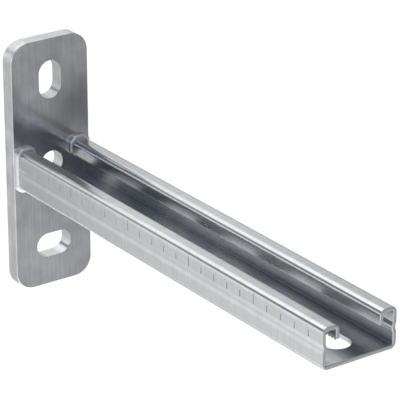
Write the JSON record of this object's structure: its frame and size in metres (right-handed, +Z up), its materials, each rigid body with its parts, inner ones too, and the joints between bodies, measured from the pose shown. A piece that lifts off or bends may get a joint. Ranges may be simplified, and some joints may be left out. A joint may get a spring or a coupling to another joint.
{
  "type": "cantilever strut arm",
  "caption": "Cantilever arm: a slotted, toothed strut channel, open upwards, welded end-on to a flat wall plate with rounded corners, a round hole and oblong holes.",
  "frame": {"origin": "centre of the wall plate's back face, on the axis of its middle hole", "axes": "+X out of the wall along the arm, +Y across it, +Z up out of the channel's mouth"},
  "size_m": [0.258, 0.045, 0.1334],
  "materials": {
    "plate_zinc": "electro-galvanised flat bar, satin",
    "channel_zinc": "galvanised strip, roll-formed, satin",
    "weld_zinc": "galvanised weld bead, rippled"
  },
  "bodies": {
    "root": {"wall_plate": "plate_zinc", "strut_channel": "channel_zinc", "weld_seam": "weld_zinc"}
  },
  "joints": []
}
